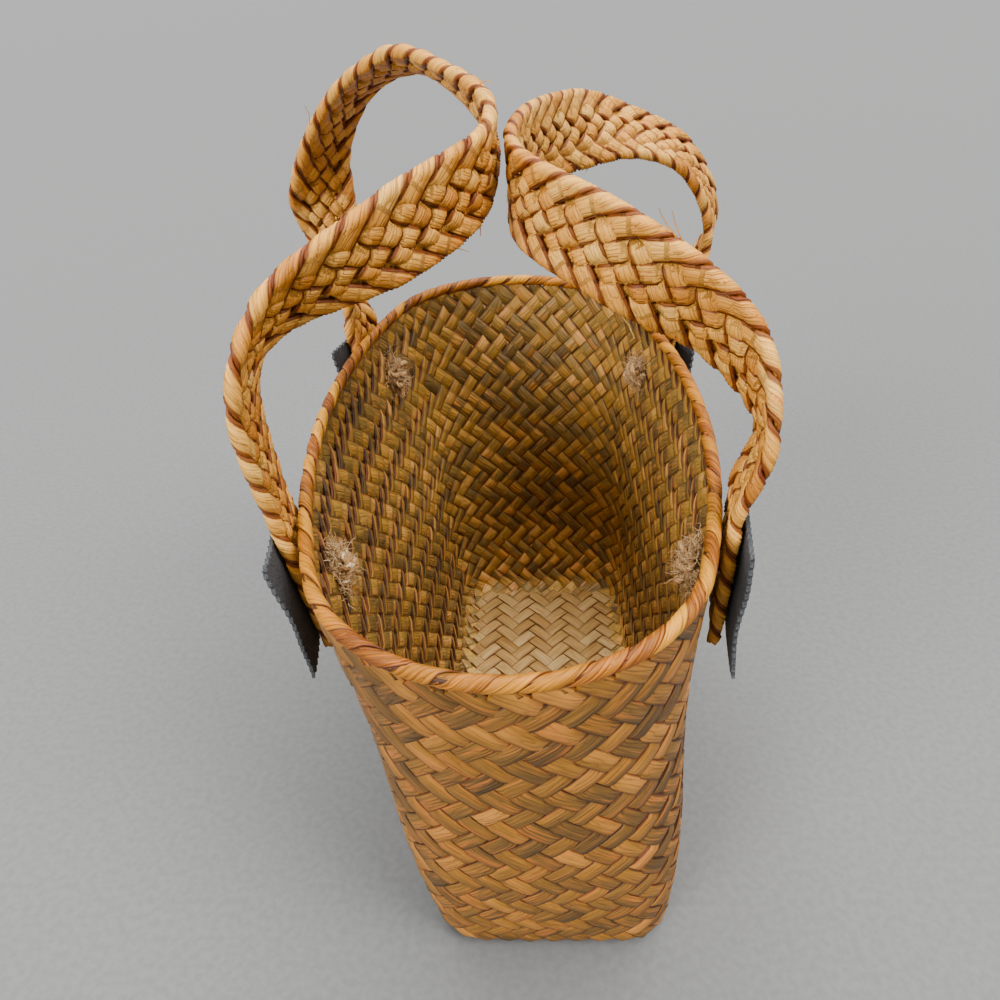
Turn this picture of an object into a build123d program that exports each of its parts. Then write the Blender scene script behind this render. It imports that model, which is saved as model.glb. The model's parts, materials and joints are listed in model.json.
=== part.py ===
from build123d import *
import math
import os

# A plaited handbag: a woven body with a wrapped rim, and two flat plaited straps
# whose tails hang outside the wall under pinked patches, tied through it with twine.
# Millimetres. +Z is up, Y runs along the mouth, X across it, the base rests on Z = 0.

# Body
MOUTH_LENGTH = 296.0
MOUTH_WIDTH = 150.0
MOUTH_END_RADIUS = 62.0
BASE_LENGTH = 226.0
BASE_WIDTH = 98.0
BASE_CORNER_RADIUS = 20.0
BASE_OFFSET = 14.5
BODY_HEIGHT = 191.0
SWELL = 2.0
HEEL = 5.0
WALL = 2.4
RIB_HEIGHT = 1.1
RIBS = 48
COURSES = 14

# Rim
RIM_HEIGHT = 5.6
RIM_PROUD = 1.5
RIM_WRAP_DEPTH = 0.8
RIM_WRAPS = 32

# Straps
FINE_STEPS = 40
STRAP_WIDTH = 29.0
STRAP_THICKNESS = 4.0
PLAIT_RELIEF = 0.6
PLAIT_COLUMNS = 4
GRIP_HALF_SPAN = 76.0
GRIP_RISE = 122.0
STRAP_GAP = 0.8
STRAP_TAIL = 41.0
TAIL_STANDOFF = 3.9
RUNNING_CLEARANCE = 0.6

# Patches
PATCH_WIDTH = 50.0
PATCH_HEIGHT = 46.0
PATCH_THICKNESS = 1.6
PINK_PITCH = 4.2
PINK_DEPTH = 1.6
PATCH_RISE = 4.0
PATCH_SEAT = 0.08

# Twine lashings
LASHING_DROP = 20.0
TWINE = 2.4
STITCH = 10.0
STITCH_LIFT = 0.7
SLOT_RISE = 1.2
SLOT_SIDE = 0.5
TUFT_WIDTH = 26.0
TUFT_HEIGHT = 18.0
TUFT_DEPTH = 7.0
TUFT_SIDES = 10
TUFT_TIP_SHARE = 0.45

# Routes of the straps above the rim: shares of the reach in to the middle, of the half span
# and of the rise, then the direction of the width, with X counted in towards the middle.
LEFT_ROUTE_SHARES = [
    (-0.04, -1.05, 0.40, (-0.08, 0.99, -0.14)),
    (0.12, -0.94, 0.57, (-0.05, 0.78, -0.62)),
    (0.61, -0.76, 0.70, (0.40, 0.47, -0.79)),
    (0.97, -0.37, 0.79, (-0.03, 0.40, -0.91)),
    (0.915, 0.10, 0.89, (0.08, 0.90, -0.45)),
    (0.56, 0.55, 0.97, (0.10, 0.96, -0.27)),
    (0.17, 0.82, 0.88, (0.25, 0.94, -0.20)),
    (-0.10, 0.95, 0.65, (0.58, 0.78, -0.22)),
    (-0.14, 1.04, 0.37, (0.84, -0.52, -0.08)),
]
RIGHT_ROUTE_SHARES = [
    (-0.06, -1.03, 0.28, (-0.13, 0.96, -0.25)),
    (0.11, -0.90, 0.48, (0.33, 0.68, -0.65)),
    (0.58, -0.79, 0.65, (0.20, 0.12, -0.97)),
    (0.965, -0.40, 0.73, (0.00, 0.05, -1.00)),
    (0.95, 0.10, 0.77, (-0.03, 0.30, -0.95)),
    (0.74, 0.52, 0.77, (0.10, -0.33, -0.94)),
    (0.39, 0.85, 0.75, (0.12, -0.86, -0.50)),
    (-0.06, 1.02, 0.63, (0.30, -0.94, -0.14)),
    (-0.27, 1.07, 0.38, (0.26, -0.96, 0.00)),
]

# The two hands: the left pieces are made on the right of a mirrored body and then turned over.
RIGHT = 1
LEFT = -1
ROUTES = {RIGHT: RIGHT_ROUTE_SHARES, LEFT: LEFT_ROUTE_SHARES}


def mouth_quarter():
    """A quarter of the mouth's outline, from the middle of a side to the middle of an end."""
    half_width = MOUTH_WIDTH / 2
    half_length = MOUTH_LENGTH / 2
    to_end = half_length - MOUTH_END_RADIUS
    excess = half_width - MOUTH_END_RADIUS
    side_radius = MOUTH_END_RADIUS + (to_end ** 2 + excess ** 2) / (2 * excess)
    turn = math.degrees(math.atan2(to_end, side_radius - half_width))
    side = CenterArc((half_width - side_radius, 0), side_radius, 0, turn)
    end = CenterArc((0, to_end), MOUTH_END_RADIUS, turn, 90 - turn)
    return Wire([side, end])


def base_quarter():
    """A quarter of the base's outline, from the middle of a side to the middle of an end."""
    half_width = BASE_WIDTH / 2
    half_length = BASE_LENGTH / 2
    radius = BASE_CORNER_RADIUS
    side = Line((half_width, 0), (half_width, half_length - radius))
    corner = CenterArc((half_width - radius, half_length - radius), radius, 0, 90)
    end = Line((half_width - radius, half_length), (0, half_length))
    return Wire([side, corner, end])


MOUTH = mouth_quarter()
BASE = base_quarter()


def wall_frame(level, turn, hand=RIGHT):
    """Point on the wall's outer face and its level outward direction, at shares of height and way round."""
    quarter = int(turn * 4) % 4
    way = turn * 4 - int(turn * 4)
    if quarter % 2:
        way = 1 - way
    point = (BASE @ way) * (1 - level) + (MOUTH @ way) * level
    run = (BASE % way) * BASE.length * (1 - level) + (MOUTH % way) * MOUTH.length * level
    across = -1 if quarter in (1, 2) else 1
    along = -1 if quarter in (2, 3) else 1
    outward = Vector(run.Y * across, -run.X * along, 0).normalized()
    swell = SWELL * math.sin(2 * math.pi * level)
    lean = hand * BASE_OFFSET * (1 - level)
    place = Vector(point.X * across + lean, point.Y * along, level * BODY_HEIGHT)
    return place + outward * swell, outward


def shell_solid(faces):
    """A closed solid from its flat faces."""
    return Solid(Shell(faces))


def facet(*corners):
    """A flat face with the given corners."""
    return Face(Wire.make_polygon(corners))


def course(lower, upper, lean):
    """Faces between two closed rings of points, with ribs that lean by a number of points."""
    count = len(lower)
    faces = []
    for i in range(count):
        a, b = lower[i], lower[(i + 1) % count]
        c, d = upper[(i + 1 + lean) % count], upper[(i + lean) % count]
        faces += [facet(a, b, c), facet(a, c, d)]
    return faces


def woven_body():
    """Floor and wall as one ribbed sheet: courses of ribs that lean one way and then the other."""
    outer = []
    inner = []
    for k in range(COURSES + 1):
        tuck = HEEL if k == 0 else 0
        outer.append([])
        inner.append([])
        for j in range(2 * RIBS):
            place, outward = wall_frame(k / COURSES, j / (2 * RIBS))
            dip = tuck + (RIB_HEIGHT if j % 2 else 0)
            face = place - outward * dip
            back = face - outward * WALL
            outer[k].append(face)
            inner[k].append(Vector(back.X, back.Y, WALL) if k == 0 else back)
    faces = [facet(*outer[0]), facet(*inner[0])]
    for k in range(COURSES):
        lean = 2 if k % 2 else -2
        faces += course(outer[k], outer[k + 1], lean)
        faces += course(inner[k], inner[k + 1], lean)
    lip = facet(*outer[-1]).make_holes([Wire.make_polygon(inner[-1])])
    return shell_solid(faces + [lip])


def rim_binding():
    """The wrapped edge on top of the wall: a ring whose strands wind round it."""
    half_seat = WALL / 2
    half_width = half_seat + RIM_PROUD
    section = [
        (half_seat, 0, 0),
        (half_width, RIM_HEIGHT / 3, 1),
        (half_seat, RIM_HEIGHT, 1),
        (-half_seat, RIM_HEIGHT, 1),
        (-half_width, RIM_HEIGHT / 3, 1),
        (-half_seat, 0, 0),
    ]
    stations = 3 * RIM_WRAPS
    rings = []
    for k in range(stations):
        place, outward = wall_frame(1, k / stations)
        middle = place - outward * (half_seat + RIB_HEIGHT / 2)
        ring = []
        for i, (out, up, wound) in enumerate(section):
            sink = RIM_WRAP_DEPTH * wound * ((k - i) % 3 != 0)
            size = math.hypot(out, up)
            scale = (size - sink) / size
            ring.append(middle + outward * out * scale + Vector(0, 0, up * scale))
        rings.append(ring)
    faces = []
    for k in range(stations):
        faces += course(rings[k], rings[(k + 1) % stations], 0)
    return shell_solid(faces)


def share_at(reach):
    """Share of the way round at which the mouth reaches a distance along Y from the middle."""
    low, high = 0, 1
    for _ in range(40):
        way = (low + high) / 2
        if (MOUTH @ way).Y < reach:
            low = way
        else:
            high = way
    return low / 4


def tail_plane(hand):
    """Plane of a strap's middle at its rear lashing: X outward, Y along the wall, Z up the tail."""
    turn = share_at(GRIP_HALF_SPAN)
    top, outward = wall_frame(1, turn, hand)
    foot_level = (BODY_HEIGHT - STRAP_TAIL) / BODY_HEIGHT
    foot, _ = wall_frame(foot_level, turn, hand)
    half_strap = STRAP_THICKNESS / 2 + PLAIT_RELIEF
    upper = top + outward * (RIM_PROUD - RIB_HEIGHT / 2 + RUNNING_CLEARANCE + half_strap)
    lower = foot + outward * (TAIL_STANDOFF + half_strap)
    up = (upper - lower).normalized()
    side = up.cross(outward).normalized()
    lashing = upper - up * (LASHING_DROP / up.Z)
    return Plane(origin=lashing, x_dir=side.cross(up), z_dir=up)


TAILS = {RIGHT: tail_plane(RIGHT), LEFT: tail_plane(LEFT)}


def smooth(values, t):
    """Value on a smooth line through evenly timed values."""
    i = min(int(t), len(values) - 2)
    f = t - i
    p1, p2 = values[i], values[i + 1]
    p0 = values[i - 1] if i > 0 else p1 * 2 - p2
    p3 = values[i + 2] if i + 2 < len(values) else p2 * 2 - p1
    bend = (p1 - p2) * 3 + p3 - p0
    pull = p0 * 2 - p1 * 5 + p2 * 4 - p3
    return p1 + ((p2 - p0) * f + pull * f ** 2 + bend * f ** 3) / 2


def strap_stations(hand):
    """Middle and width direction of a strap, from its front tail over the top to its rear tail."""
    lashing = TAILS[hand].origin
    up = TAILS[hand].z_dir
    side = TAILS[hand].y_dir
    foot = lashing - up * ((STRAP_TAIL - LASHING_DROP) / up.Z)
    lip = lashing + up * (LASHING_DROP / up.Z)
    over = lip + up * STRAP_WIDTH / 3
    tail = [(foot, side), (lip, side), (over, side)]
    front = [(Vector(p.X, -p.Y, p.Z), Vector(-w.X, w.Y, w.Z)) for p, w in tail]
    half_strap = STRAP_THICKNESS / 2 + PLAIT_RELIEF
    reach = lip.X - STRAP_GAP / 2 - half_strap
    arch = []
    for inward, along, rise, (wx, wy, wz) in ROUTES[hand]:
        place = Vector(lip.X - inward * reach, along * GRIP_HALF_SPAN, BODY_HEIGHT + rise * GRIP_RISE)
        arch.append((place, Vector(-wx, wy, wz)))
    rear = [(p, w * -1) for p, w in reversed(tail)]
    return front + arch + rear


def even_times(middles, spacing):
    """Times at which a smooth line has gone equal lengths of about the given spacing."""
    fine = [k / FINE_STEPS for k in range((len(middles) - 1) * FINE_STEPS + 1)]
    places = [smooth(middles, t) for t in fine]
    gone = [0]
    for before, after in zip(places, places[1:]):
        gone.append(gone[-1] + (after - before).length)
    rings = round(gone[-1] / spacing)
    times = []
    for k in range(rings + 1):
        nearest = min(range(len(fine)), key=lambda n: abs(gone[n] - gone[-1] * k / rings))
        times.append(fine[nearest])
    return times


def strap(hand):
    """A strap: a flat plait, its strands crossing in raised diamonds on both faces."""
    stations = strap_stations(hand)
    middles = [p for p, w in stations]
    widths = [w for p, w in stations]
    last = len(stations) - 1
    half = STRAP_THICKNESS / 2
    rings = []
    for k, t in enumerate(even_times(middles, STRAP_WIDTH / PLAIT_COLUMNS)):
        middle = smooth(middles, t)
        run = smooth(middles, min(t + 1 / FINE_STEPS, last)) - smooth(middles, max(t - 1 / FINE_STEPS, 0))
        run = run.normalized()
        width = smooth(widths, t)
        width = (width - run * width.dot(run)).normalized()
        normal = run.cross(width)
        face = []
        back = []
        for i in range(PLAIT_COLUMNS + 1):
            place = middle + width * STRAP_WIDTH * (i / PLAIT_COLUMNS - 1 / 2)
            relief = PLAIT_RELIEF if (i + k) % 2 else -PLAIT_RELIEF
            lift = half if i in (0, PLAIT_COLUMNS) else half + relief
            face.append(place + normal * lift)
            back.append(place - normal * lift)
        rings.append(face + back[::-1])
    faces = [facet(*rings[0]), facet(*rings[-1])]
    for k in range(len(rings) - 1):
        lower, upper = rings[k], rings[k + 1]
        for i in range(len(lower)):
            j = (i + 1) % len(lower)
            column = i if i <= PLAIT_COLUMNS else 2 * PLAIT_COLUMNS + 1 - i
            if (column + k) % 2:
                faces += [facet(lower[i], lower[j], upper[j]), facet(lower[i], upper[j], upper[i])]
            else:
                faces += [facet(lower[i], lower[j], upper[i]), facet(lower[j], upper[j], upper[i])]
    plait = shell_solid(faces)
    for slot in stitch_slots(hand, 2 * STRAP_THICKNESS + 2 * PLAIT_RELIEF):
        plait = plait - slot - mirror(slot, about=Plane.XZ)
    return plait


def stitch_slots(hand, depth):
    """The pair of slots that a lashing passes through, about a strap's rear lashing."""
    slot = Box(depth, TWINE + 2 * SLOT_SIDE, TWINE + 2 * SLOT_RISE)
    return [TAILS[hand] * Pos(0, side * STITCH / 2, 0) * slot for side in (-1, 1)]


def pinked_edge(length, height):
    """Outline of a patch: a rectangle whose edges run in a zigzag."""
    points = []
    corners = [(-1, -1), (1, -1), (1, 1), (-1, 1)]
    for i, (u, v) in enumerate(corners):
        nu, nv = corners[(i + 1) % 4]
        run = length if nu != u else height
        teeth = round(run / PINK_PITCH)
        for k in range(2 * teeth):
            share = k / (2 * teeth)
            inset = PINK_DEPTH if k % 2 else 0
            x = (u + (nu - u) * share) * length / 2 - inset * (u if nu == u else 0)
            y = (v + (nv - v) * share) * height / 2 - inset * (v if nv == v else 0)
            points.append((x, y))
    return points


def patch(hand):
    """The pinked patch over a strap's rear tail."""
    tail = TAILS[hand]
    seat = STRAP_THICKNESS / 2 + PLAIT_RELIEF + PATCH_SEAT
    middle = LASHING_DROP + PATCH_RISE - PATCH_HEIGHT / 2
    sheet = Plane(
        origin=tail.origin + tail.x_dir * seat + tail.z_dir * middle,
        x_dir=tail.y_dir,
        z_dir=tail.x_dir,
    )
    edge = [sheet.from_local_coords(point) for point in pinked_edge(PATCH_WIDTH, PATCH_HEIGHT)]
    plate = Solid.extrude(facet(*edge), tail.x_dir * PATCH_THICKNESS)
    for slot in stitch_slots(hand, 4 * (seat + PATCH_THICKNESS)):
        plate = plate - slot
    return plate


def lashing(hand):
    """The twine at a strap's rear tail: a tuft inside the wall, two legs and a stitch over the patch."""
    tail = TAILS[hand]
    level = tail.origin.Z / BODY_HEIGHT
    place, _ = wall_frame(level, share_at(GRIP_HALF_SPAN), hand)
    inside = (tail.origin - place).dot(tail.x_dir) + WALL
    outside = STRAP_THICKNESS / 2 + PLAIT_RELIEF + PATCH_SEAT + PATCH_THICKNESS + STITCH_LIFT
    leg = Box(inside + outside + TWINE, TWINE, TWINE)
    middle = (outside + TWINE - inside) / 2
    knot = Pos(outside + TWINE / 2, 0, 0) * Box(TWINE, STITCH + TWINE, TWINE)
    for side in (-1, 1):
        knot = knot + Pos(middle, side * STITCH / 2, 0) * leg
    rings = []
    for depth, share in ((inside, 1), (inside + TUFT_DEPTH, TUFT_TIP_SHARE)):
        ring = []
        for k in range(TUFT_SIDES):
            angle = 2 * math.pi * k / TUFT_SIDES
            across = math.cos(angle) * TUFT_WIDTH / 2 * share
            ring.append(Vector(-depth, across, math.sin(angle) * TUFT_HEIGHT / 2 * share))
        rings.append(ring)
    tuft = shell_solid([facet(*rings[0]), facet(*rings[1])] + course(rings[0], rings[1], 0))
    return tail * (knot + tuft)


def write(name, solid):
    """Save a piece under its name."""
    export_step(solid, os.path.join("parts", name + ".step"))


def main():
    os.makedirs("parts", exist_ok=True)
    write("woven_body", woven_body())
    write("rim_binding", rim_binding())
    for side, hand in (("right", RIGHT), ("left", LEFT)):
        pieces = {"handle": strap(hand)}
        for name, piece in (("patch", patch(hand)), ("lashing", lashing(hand))):
            pieces["rear_" + name] = piece
            pieces["front_" + name] = mirror(piece, about=Plane.XZ)
        for name, piece in pieces.items():
            write(side + "_" + name, piece if hand == RIGHT else mirror(piece, about=Plane.YZ))


main()
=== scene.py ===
import json
import math

import bpy
import numpy as np
from mathutils import Matrix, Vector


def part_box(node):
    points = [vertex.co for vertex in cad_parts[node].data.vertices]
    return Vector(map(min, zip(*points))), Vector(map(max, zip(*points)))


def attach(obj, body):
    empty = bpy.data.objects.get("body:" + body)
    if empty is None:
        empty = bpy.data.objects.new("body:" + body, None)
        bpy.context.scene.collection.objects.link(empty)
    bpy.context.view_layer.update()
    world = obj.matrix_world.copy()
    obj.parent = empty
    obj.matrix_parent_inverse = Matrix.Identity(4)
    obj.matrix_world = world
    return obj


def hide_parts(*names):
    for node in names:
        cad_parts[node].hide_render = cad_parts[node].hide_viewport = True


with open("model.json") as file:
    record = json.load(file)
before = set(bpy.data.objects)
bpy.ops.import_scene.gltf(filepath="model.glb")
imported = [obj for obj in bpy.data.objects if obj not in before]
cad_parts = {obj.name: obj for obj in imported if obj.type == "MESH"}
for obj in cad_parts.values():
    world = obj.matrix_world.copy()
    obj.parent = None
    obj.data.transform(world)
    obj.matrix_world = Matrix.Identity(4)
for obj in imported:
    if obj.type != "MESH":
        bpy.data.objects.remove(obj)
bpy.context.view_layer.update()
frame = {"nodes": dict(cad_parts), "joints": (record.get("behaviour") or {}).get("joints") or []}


# Woven wall
# Flattened stems plaited on the bias, two over and two under, so that rows of floats
# lean one way and then the other. The stems come up from under the floor and end in the rim.

wall_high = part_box("woven_body")[1]
WALL_HEIGHT = wall_high.z
MOUTH_HALF_WIDTH = wall_high.x
MOUTH_HALF_LENGTH = wall_high.y
MOUTH_END_RADIUS = 0.062
BASE_HALF_WIDTH = 0.049
BASE_HALF_LENGTH = 0.113
BASE_CORNER_RADIUS = 0.020
BASE_OFFSET = 0.0145
WALL_SWELL = 0.002
HEEL_RADIUS = 0.008
HEEL_LIFT = 0.0003
TUCK_UNDER = 0.005
TUCK_INTO_RIM = 0.0012
SETTLE_UNDER_RIM = 0.006
SETTLED_LIFT_SHARE = 0.45
STEMS_EACH_WAY = 66
WEAVE_ROW = 0.010
CROSSINGS_PER_ROW = 2
TWILL_REPEAT = 4
STEM_DEPTH = 0.0015
STEM_LIFT = 0.00066
STEM_FILL = 1.09
STEM_WIDTH_SPREAD = (0.93, 1.04)
STEM_WIDTH_CHANGE = 0.03
STEM_WIDTH_KNOTS = 30
STEM_WANDER = 0.00022
STEM_WANDER_KNOTS = 14
STEM_THICKNESS_SHARE = 0.20
STEM_EDGE_ROUNDNESS = 0.3
STEM_FACE_ROUNDNESS = 0.55
STEM_SIDES = 8
SAMPLES_PER_ROW = 7
FLOAT_STEEPNESS = 2.2
FLOAT_TONE_SHARE = 0.72

dice = np.random.default_rng(11)


def mouth_outline(way):
    """Points and tangents of a quarter of the mouth, by share of the way from side to end."""
    to_end = MOUTH_HALF_LENGTH - MOUTH_END_RADIUS
    excess = MOUTH_HALF_WIDTH - MOUTH_END_RADIUS
    side_radius = MOUTH_END_RADIUS + (to_end ** 2 + excess ** 2) / (2 * excess)
    turn = math.atan2(to_end, side_radius - MOUTH_HALF_WIDTH)
    side_run = side_radius * turn
    end_run = MOUTH_END_RADIUS * (math.pi / 2 - turn)
    gone = way * (side_run + end_run)
    on_side = gone < side_run
    angle = np.where(on_side, gone / side_radius, turn + (gone - side_run) / MOUTH_END_RADIUS)
    radius = np.where(on_side, side_radius, MOUTH_END_RADIUS)
    x = np.where(on_side, MOUTH_HALF_WIDTH - side_radius, 0) + radius * np.cos(angle)
    y = np.where(on_side, 0, to_end) + radius * np.sin(angle)
    return x, y, -np.sin(angle) * (side_run + end_run), np.cos(angle) * (side_run + end_run)


def base_outline(way):
    """Points and tangents of a quarter of the base, by share of the way from side to end."""
    side_run = BASE_HALF_LENGTH - BASE_CORNER_RADIUS
    corner_run = BASE_CORNER_RADIUS * math.pi / 2
    end_run = BASE_HALF_WIDTH - BASE_CORNER_RADIUS
    whole = side_run + corner_run + end_run
    gone = way * whole
    angle = np.clip((gone - side_run) / BASE_CORNER_RADIUS, 0, math.pi / 2)
    past = np.clip(gone - side_run - corner_run, 0, None)
    x = end_run + BASE_CORNER_RADIUS * np.cos(angle) - past
    y = np.minimum(gone, side_run) + BASE_CORNER_RADIUS * np.sin(angle)
    return x, y, -np.sin(angle) * whole, np.cos(angle) * whole


def outline_length(outline):
    """Length of a whole outline from its quarter."""
    _, _, tx, ty = outline(np.array([0.0]))
    return 4 * float(np.hypot(tx, ty)[0])


BASE_PITCH = outline_length(base_outline) / STEMS_EACH_WAY
MOUTH_PITCH = outline_length(mouth_outline) / STEMS_EACH_WAY


def wall_outline(turn, level):
    """Outer face of the wall in plan and its outward direction, at shares of the way round and height."""
    quarter = np.floor(turn * 4) % 4
    way = turn * 4 - np.floor(turn * 4)
    way = np.where(quarter % 2 == 1, 1 - way, way)
    bx, by, btx, bty = base_outline(way)
    mx, my, mtx, mty = mouth_outline(way)
    x, y = bx + (mx - bx) * level, by + (my - by) * level
    tx, ty = btx + (mtx - btx) * level, bty + (mty - bty) * level
    across = np.where((quarter == 1) | (quarter == 2), -1, 1)
    along = np.where(quarter >= 2, -1, 1)
    size = np.hypot(tx, ty)
    out_x, out_y = ty * across / size, -tx * along / size
    swell = WALL_SWELL * np.sin(2 * math.pi * level)
    lean = BASE_OFFSET * (1 - level)
    return x * across + lean + out_x * swell, y * along + out_y * swell, out_x, out_y


def wall_surface(turn, climb):
    """Points and normals of the outer face, by share of the way round and distance up from the heel."""
    bend = np.clip(climb / HEEL_RADIUS, 0, math.pi / 2)
    straight = np.clip(climb - HEEL_RADIUS * math.pi / 2, 0, None)
    height = HEEL_RADIUS * (1 - np.cos(bend)) + straight
    inset = HEEL_RADIUS * (1 - np.sin(bend)) + np.clip(-climb, 0, None)
    x, y, out_x, out_y = wall_outline(turn, height / WALL_HEIGHT)
    points = np.stack([x - out_x * inset, y - out_y * inset, height + HEEL_LIFT], axis=1)
    normals = np.stack([out_x * np.sin(bend), out_y * np.sin(bend), -np.cos(bend)], axis=1)
    return points, normals


def float_wave(crossings):
    """Height of a stem against its neighbours, from 1 where it floats on top to -1 underneath."""
    return np.clip(FLOAT_STEEPNESS * np.cos(2 * math.pi / TWILL_REPEAT * (crossings - 0.5)), -1, 1)


def float_tones(crossings, slope):
    """Tone of a stem along its way: its own, with a change at each float, hidden under a crossing."""
    shifted = crossings + (0 if slope > 0 else TWILL_REPEAT / 2)
    floats = np.floor((shifted + 1.5) / TWILL_REPEAT).astype(int)
    changes = dice.uniform(0, 1, floats.max() - floats.min() + 1)[floats - floats.min()]
    return dice.uniform(0, 1) * (1 - FLOAT_TONE_SHARE) + changes * FLOAT_TONE_SHARE


def slow_noise(count, knots, size):
    """A smooth random line of a given size."""
    values = dice.normal(0, size, knots)
    return np.interp(np.linspace(0, knots - 1, count), np.arange(knots), values)


def unit(vectors):
    """Rows of vectors, each made one long."""
    return vectors / np.linalg.norm(vectors, axis=1, keepdims=True)


def distances(points):
    """How far along a line each of its points lies."""
    steps = np.linalg.norm(np.diff(points, axis=0), axis=1)
    return np.concatenate([[0], np.cumsum(steps)])


def placed(name, data):
    """A new object in the scene."""
    thing = bpy.data.objects.new(name, data)
    bpy.context.scene.collection.objects.link(thing)
    return thing


def plain_piece(name, guide):
    """A plain mesh piece made from an object with modifiers, which is then removed."""
    shaped = guide.evaluated_get(bpy.context.evaluated_depsgraph_get())
    piece = placed(name, bpy.data.meshes.new_from_object(shaped))
    bpy.data.objects.remove(guide)
    return piece


def add_node(tree, kind, inputs=(), **settings):
    """A new node, with its settings made and its inputs set or linked."""
    node = tree.nodes.new(kind)
    for name, value in settings.items():
        setattr(node, name, value)
    for key, value in dict(inputs).items():
        if isinstance(value, bpy.types.NodeSocket):
            tree.links.new(value, node.inputs[key])
        else:
            node.inputs[key].default_value = value
    return node


def sums(tree, operation, *values):
    """Result of a Math node."""
    return add_node(tree, "ShaderNodeMath", enumerate(values), operation=operation).outputs[0]


def stem_sweep():
    """Node tree that sweeps a flattened stem along each line of points in a mesh."""
    tree = bpy.data.node_groups.new("stem sweep", "GeometryNodeTree")
    sockets = {
        "Lines": "NodeSocketGeometry",
        "Thickness Share": "NodeSocketFloat",
        "Edge Roundness": "NodeSocketFloat",
        "Sides": "NodeSocketInt",
        "Finish": "NodeSocketMaterial",
    }
    for name, kind in sockets.items():
        tree.interface.new_socket(name, in_out="INPUT", socket_type=kind)
    tree.interface.new_socket("Stems", in_out="OUTPUT", socket_type="NodeSocketGeometry")
    given = tree.nodes.new("NodeGroupInput").outputs

    ring = add_node(tree, "GeometryNodeCurvePrimitiveCircle", {"Resolution": given["Sides"], "Radius": 1.0})
    spot = add_node(tree, "GeometryNodeInputPosition")
    parts = add_node(tree, "ShaderNodeSeparateXYZ", {0: spot.outputs[0]}).outputs

    def squared(value, power):
        """A circle's coordinate pushed out towards a square's."""
        return sums(tree, "MULTIPLY", sums(tree, "POWER", sums(tree, "ABSOLUTE", value), power),
                    sums(tree, "SIGN", value))

    section = ring
    for label, part in (("across", "Y"), ("face", "X")):
        section = add_node(tree, "GeometryNodeStoreNamedAttribute",
                           {"Geometry": section.outputs[0], "Name": label, "Value": parts[part]})
    flat = add_node(tree, "ShaderNodeCombineXYZ", {
        "X": sums(tree, "MULTIPLY", squared(parts["X"], STEM_FACE_ROUNDNESS), given["Thickness Share"]),
        "Y": squared(parts["Y"], given["Edge Roundness"]),
    })
    section = add_node(tree, "GeometryNodeSetPosition",
                       {"Geometry": section.outputs[0], "Position": flat.outputs[0]})

    line = add_node(tree, "GeometryNodeMeshToCurve", {0: given["Lines"]})
    outward = add_node(tree, "GeometryNodeInputNamedAttribute", {"Name": "outward"},
                       data_type="FLOAT_VECTOR")
    line = add_node(tree, "GeometryNodeSetCurveNormal",
                    {"Curve": line.outputs[0], "Normal": outward.outputs[0]}, mode="FREE")
    width = add_node(tree, "GeometryNodeInputNamedAttribute", {"Name": "half_width"}, data_type="FLOAT")
    stems = add_node(tree, "GeometryNodeCurveToMesh", {
        "Curve": line.outputs[0],
        "Profile Curve": section.outputs[0],
        "Scale": width.outputs[0],
        "Fill Caps": True,
    })
    smooth = add_node(tree, "GeometryNodeSetShadeSmooth", {0: stems.outputs[0]})
    real = add_node(tree, "GeometryNodeRealizeInstances", {0: smooth.outputs[0]})
    dressed = add_node(tree, "GeometryNodeSetMaterial",
                       {"Geometry": real.outputs[0], "Material": given["Finish"]})
    add_node(tree, "NodeGroupOutput", {0: dressed.outputs[0]})
    return tree


STEM_SWEEP = stem_sweep()


def sweep(name, lines, finish, thickness_share=STEM_THICKNESS_SHARE, edge_roundness=STEM_EDGE_ROUNDNESS,
          sides=STEM_SIDES):
    """One mesh piece of stems, each given by points, outward directions, half widths, tones and a lane."""
    points = np.concatenate([line[0] for line in lines])
    outward = np.concatenate([line[1] for line in lines])
    counts = [len(line[0]) for line in lines]
    starts = np.cumsum(counts) - counts
    ends = np.concatenate([start + np.arange(count - 1) for start, count in zip(starts, counts)])
    mesh = bpy.data.meshes.new(name + "_lines")
    mesh.from_pydata(points.tolist(), np.stack([ends, ends + 1], axis=1).tolist(), [])
    mesh.attributes.new("outward", "FLOAT_VECTOR", "POINT").data.foreach_set("vector", outward.ravel())
    measures = {
        "half_width": [line[2] for line in lines],
        "tone": [line[3] for line in lines],
        "lane": [line[4] if len(line) > 4 else 0.0 for line in lines],
        "along": [distances(line[0]) for line in lines],
    }
    for label, values in measures.items():
        every = np.concatenate([np.broadcast_to(value, count) for value, count in zip(values, counts)])
        mesh.attributes.new(label, "FLOAT", "POINT").data.foreach_set("value", every)
    guide = placed(name + "_lines", mesh)
    modifier = guide.modifiers.new("stem sweep", "NODES")
    modifier.node_group = STEM_SWEEP
    settings = {
        "Thickness Share": thickness_share,
        "Edge Roundness": edge_roundness,
        "Sides": sides,
        "Finish": finish,
    }
    for item in STEM_SWEEP.interface.items_tree:
        if item.name in settings:
            modifier[item.identifier] = settings[item.name]
    return plain_piece(name, guide)


# Each grain is its scale along the stem, its scale across it and its detail. The shift keeps
# the patterns of neighbouring stems apart.
PATTERN_SHIFT = 97.0
STREAK_GRAIN = (55.0, 7.0, 5.0)
DRIFT_GRAIN = (40.0, 0.8, 2.0)
BEND_GRAIN = (60.0, 1.5, 1.0)
CREASE_BEND = 2.0
CREASE_SHARPNESS = 0.35
STREAK_HEIGHT = 0.7


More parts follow.
